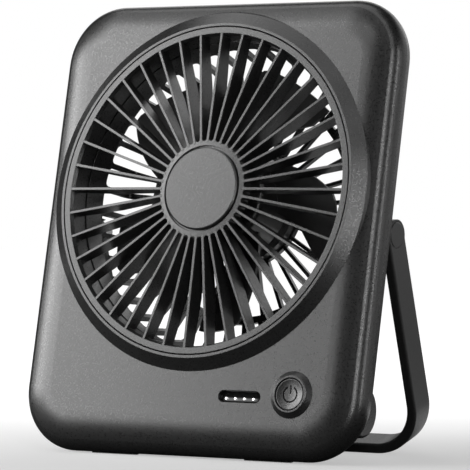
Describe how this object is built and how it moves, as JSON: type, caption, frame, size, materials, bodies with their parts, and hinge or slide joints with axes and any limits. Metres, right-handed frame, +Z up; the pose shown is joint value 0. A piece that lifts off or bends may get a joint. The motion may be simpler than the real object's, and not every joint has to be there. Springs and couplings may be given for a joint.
{
  "type": "portable camping fan",
  "caption": "Battery fan in a rounded slab body with a round spoked grille, drum-shaped rear cage, power button and a fold-out U stand.",
  "frame": {"origin": "centre of the bounding box at the floor, standing with the stand open", "axes": "+Z up, -Y out of the front of the fan, +X to the right seen from the front"},
  "size_m": [0.167, 0.0797, 0.1895],
  "materials": {
    "shell_plastic": "fine spark texture",
    "grille_plastic": "fine satin",
    "button_plastic": "satin, dished, with a shallow power mark",
    "window_plastic": "smooth",
    "light_lens": "clear diffuse",
    "board": "solder mask",
    "switch_plastic": "moulded",
    "impeller_plastic": "satin",
    "motor_steel": "drawn",
    "magnet": "pressed ferrite",
    "bright_steel": "ground",
    "lamination": "stacked sheet",
    "copper_wire": "enamelled",
    "screw_steel": "zinc plated",
    "cell_wrap": "shrink film",
    "contact_nickel": "nickel strip",
    "stand_plastic": "satin",
    "soft_rubber": "matt"
  },
  "bodies": {
    "housing": {"front_shell": "shell_plastic", "front_grille": "grille_plastic", "hub_cap": "grille_plastic", "push_switch": "switch_plastic", "led_window": "window_plastic", "charge_lights": "light_lens", "control_board": "board", "motor_bearings": "bright_steel", "stator_core": "lamination", "stator_coils": "copper_wire", "motor_mount": "shell_plastic", "motor_screws": "screw_steel", "rear_shell": "shell_plastic", "shell_screws": "screw_steel", "battery_cells": "cell_wrap", "battery_cradle": "switch_plastic", "battery_contacts": "contact_nickel", "charge_board": "board", "usb_socket": "bright_steel", "pivot_pins": "bright_steel", "friction_washers": "bright_steel", "rubber_feet": "soft_rubber"},
    "fan_rotor": {"impeller": "impeller_plastic", "rotor_bell": "motor_steel", "rotor_magnets": "magnet", "motor_shaft": "bright_steel", "shaft_clip": "bright_steel"},
    "stand": {"stand": "stand_plastic", "pivot_caps": "stand_plastic", "stand_pad": "soft_rubber"},
    "button": {"power_button": "button_plastic", "switch_plunger": "switch_plastic"}
  },
  "joints": [
    {"name": "fan_spin", "type": "hinge", "parent": "housing", "child": "fan_rotor", "pos_m": [0, -0.00182, 0.10707], "axis": [0, -0.9763, 0.2164], "continuous": true},
    {"name": "stand_fold", "type": "hinge", "parent": "housing", "child": "stand", "pos_m": [0, 0.00621, 0.09248], "axis": [1, 0, 0], "range_deg": [-17, 150.5]},
    {"name": "button_push", "type": "slide", "parent": "housing", "child": "button", "axis": [0, 0.9763, -0.2164], "range_m": [0, 0.0005], "stiffness_N_per_m": 2000, "springref_m": -0.0004}
  ]
}
